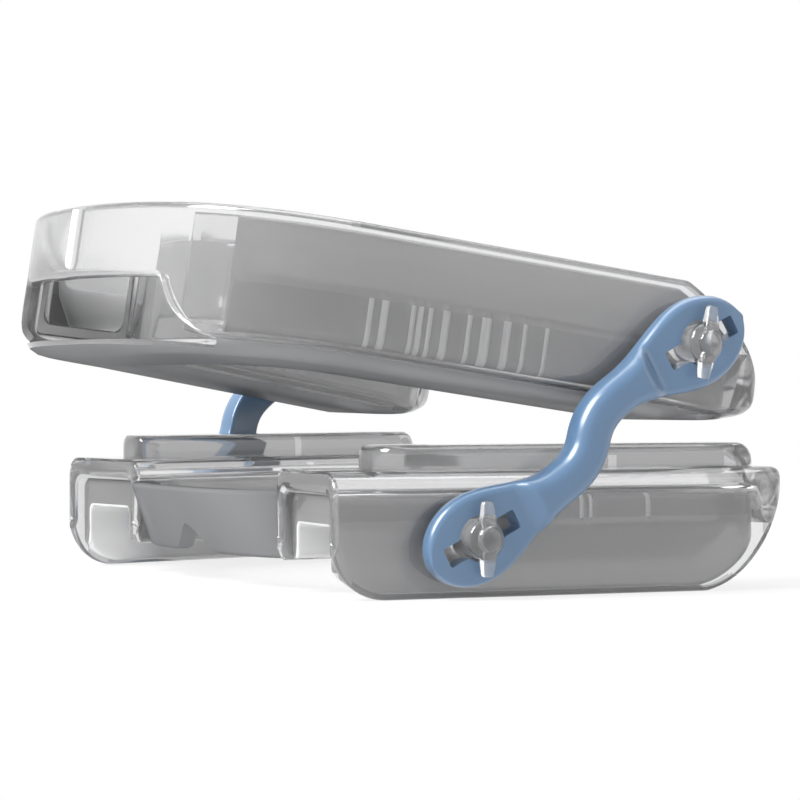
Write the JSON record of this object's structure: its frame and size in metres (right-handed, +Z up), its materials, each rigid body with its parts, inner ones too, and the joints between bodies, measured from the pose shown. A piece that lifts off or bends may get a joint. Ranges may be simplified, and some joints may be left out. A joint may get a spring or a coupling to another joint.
{
  "type": "anti-snoring mouthpiece",
  "caption": "Adjustable jaw-advancing mouthpiece: clear upper and lower tooth trays with softer liners, joined at each side by an S-shaped strap on winged buttons.",
  "frame": {"origin": "middle of the mouthpiece's box, on the plane that the lower tray's rims stand on", "axes": "+X towards the wearer's left, -Y towards the front of the mouth, +Z up"},
  "size_m": [0.0668, 0.0502, 0.0315],
  "materials": {
    "clear_shell": "hard clear plastic, polished",
    "clear_liner": "softer clear thermoplastic, smooth",
    "blue_strap": "light steel blue plastic, satin"
  },
  "bodies": {
    "lower_tray": {"lower_shell": "clear_shell", "lower_liner_left": "clear_liner", "lower_liner_right": "clear_liner"},
    "left_strap": {"left_strap": "blue_strap"},
    "right_strap": {"right_strap": "blue_strap"},
    "upper_tray": {"upper_shell": "clear_shell", "upper_liner_left": "clear_liner", "upper_liner_right": "clear_liner"}
  },
  "joints": [
    {"name": "left_strap_swing", "type": "hinge", "parent": "lower_tray", "child": "left_strap", "pos_m": [0.0283, -0.00294, 0.0048], "axis": [1, 0, 0], "range_deg": [-1, 22]},
    {"name": "right_strap_swing", "type": "hinge", "parent": "lower_tray", "child": "right_strap", "pos_m": [-0.0283, -0.00294, 0.0048], "axis": [1, 0, 0], "range_deg": [-1, 22]},
    {"name": "upper_tray_tilt", "type": "hinge", "parent": "left_strap", "child": "upper_tray", "pos_m": [0.0312, 0.01606, 0.0201], "axis": [1, 0, 0], "range_deg": [-8, 8]}
  ],
  "couplings": [
    {"joint": "right_strap_swing", "follows": "left_strap_swing", "ratio": 1}
  ]
}
